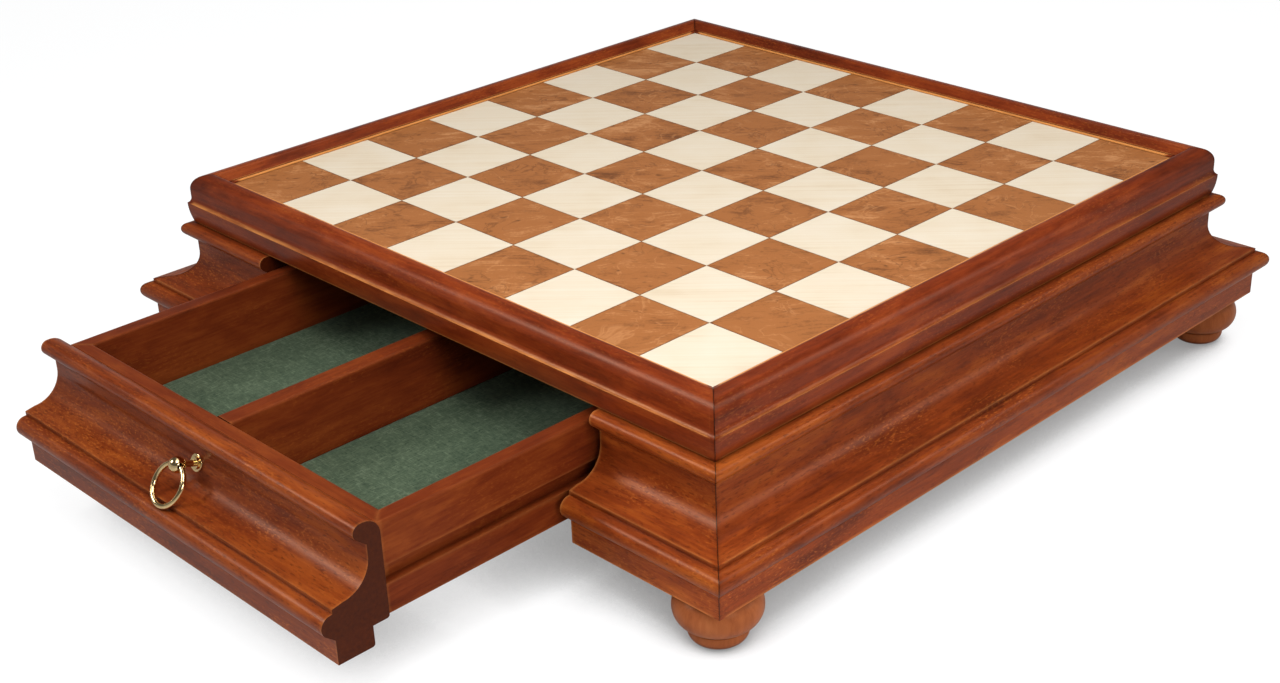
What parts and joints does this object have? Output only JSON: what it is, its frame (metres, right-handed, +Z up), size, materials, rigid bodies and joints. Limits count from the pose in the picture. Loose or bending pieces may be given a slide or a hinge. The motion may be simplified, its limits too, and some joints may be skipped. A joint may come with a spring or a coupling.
{
  "type": "chess box with drawers",
  "caption": "Inlaid chess board in a moulded frame on a moulded wooden case with turned feet; felt-lined drawers with brass ring pulls open to each player.",
  "frame": {"origin": "middle of the playing surface, on top of the squares", "axes": "+Z up out of the playing surface; -Y towards the player at the open drawer; +X to that player's right"},
  "size_m": [0.4952, 0.6352, 0.127],
  "materials": {
    "frame_wood": "satin lacquer over stained mahogany",
    "case_wood": "satin lacquer over stained mahogany",
    "drawer_front_wood": "satin lacquer over stained mahogany",
    "box_wood": "satin lacquer over stained solid wood",
    "inner_wood": "plain stained wood",
    "foot_wood": "satin lacquer over stained, turned wood",
    "light_veneer": "semi-gloss lacquer over pale maple veneer",
    "dark_veneer": "semi-gloss lacquer over burl veneer",
    "core_board": "plywood with a dark glue face",
    "base_board": "bare plywood",
    "drawer_bottom_board": "bare plywood",
    "felt": "dark green felt",
    "pull_brass": "polished and lacquered"
  },
  "bodies": {
    "case": {"light_squares": "light_veneer", "dark_squares": "dark_veneer", "core_panel": "core_board", "frame_front": "frame_wood", "frame_back": "frame_wood", "frame_left": "frame_wood", "frame_right": "frame_wood", "case_moulding_left": "case_wood", "case_moulding_right": "case_wood", "front_moulding_left": "case_wood", "front_moulding_right": "case_wood", "back_moulding_left": "case_wood", "back_moulding_right": "case_wood", "side_wall_left": "inner_wood", "side_wall_right": "inner_wood", "front_wall_left": "inner_wood", "front_wall_right": "inner_wood", "back_wall_left": "inner_wood", "back_wall_right": "inner_wood", "guide_wall_left": "inner_wood", "guide_wall_right": "inner_wood", "centre_divider": "inner_wood", "cross_rail_front": "inner_wood", "cross_rail_back": "inner_wood", "runner_front_left": "inner_wood", "runner_front_right": "inner_wood", "runner_back_left": "inner_wood", "runner_back_right": "inner_wood", "base_panel": "base_board", "foot_front_left": "foot_wood", "foot_front_right": "foot_wood", "foot_back_left": "foot_wood", "foot_back_right": "foot_wood"},
    "front_drawer": {"front_drawer_moulding": "drawer_front_wood", "front_drawer_front": "box_wood", "front_drawer_side_left": "box_wood", "front_drawer_side_right": "box_wood", "front_drawer_back": "box_wood", "front_drawer_partition": "box_wood", "front_drawer_stop": "box_wood", "front_drawer_bottom": "drawer_bottom_board", "front_drawer_felt": "felt", "front_drawer_rosette": "pull_brass", "front_drawer_knob": "pull_brass"},
    "front_ring": {"front_drawer_ring": "pull_brass"},
    "back_drawer": {"back_drawer_moulding": "drawer_front_wood", "back_drawer_front": "box_wood", "back_drawer_side_left": "box_wood", "back_drawer_side_right": "box_wood", "back_drawer_back": "box_wood", "back_drawer_partition": "box_wood", "back_drawer_stop": "box_wood", "back_drawer_bottom": "drawer_bottom_board", "back_drawer_felt": "felt", "back_drawer_rosette": "pull_brass", "back_drawer_knob": "pull_brass"},
    "back_ring": {"back_drawer_ring": "pull_brass"}
  },
  "joints": [
    {"name": "front_drawer_slide", "type": "slide", "parent": "case", "child": "front_drawer", "axis": [0, -1, 0], "range_m": [-0.14, 0.02]},
    {"name": "back_drawer_slide", "type": "slide", "parent": "case", "child": "back_drawer", "axis": [0, 1, 0], "range_m": [0, 0.16]},
    {"name": "front_ring_swing", "type": "hinge", "parent": "front_drawer", "child": "front_ring", "pos_m": [0, -0.37074, -0.04505], "axis": [-1, 0, 0], "range_deg": [0, 150]},
    {"name": "back_ring_swing", "type": "hinge", "parent": "back_drawer", "child": "back_ring", "pos_m": [0, 0.23075, -0.04505], "axis": [1, 0, 0], "range_deg": [0, 150]}
  ]
}
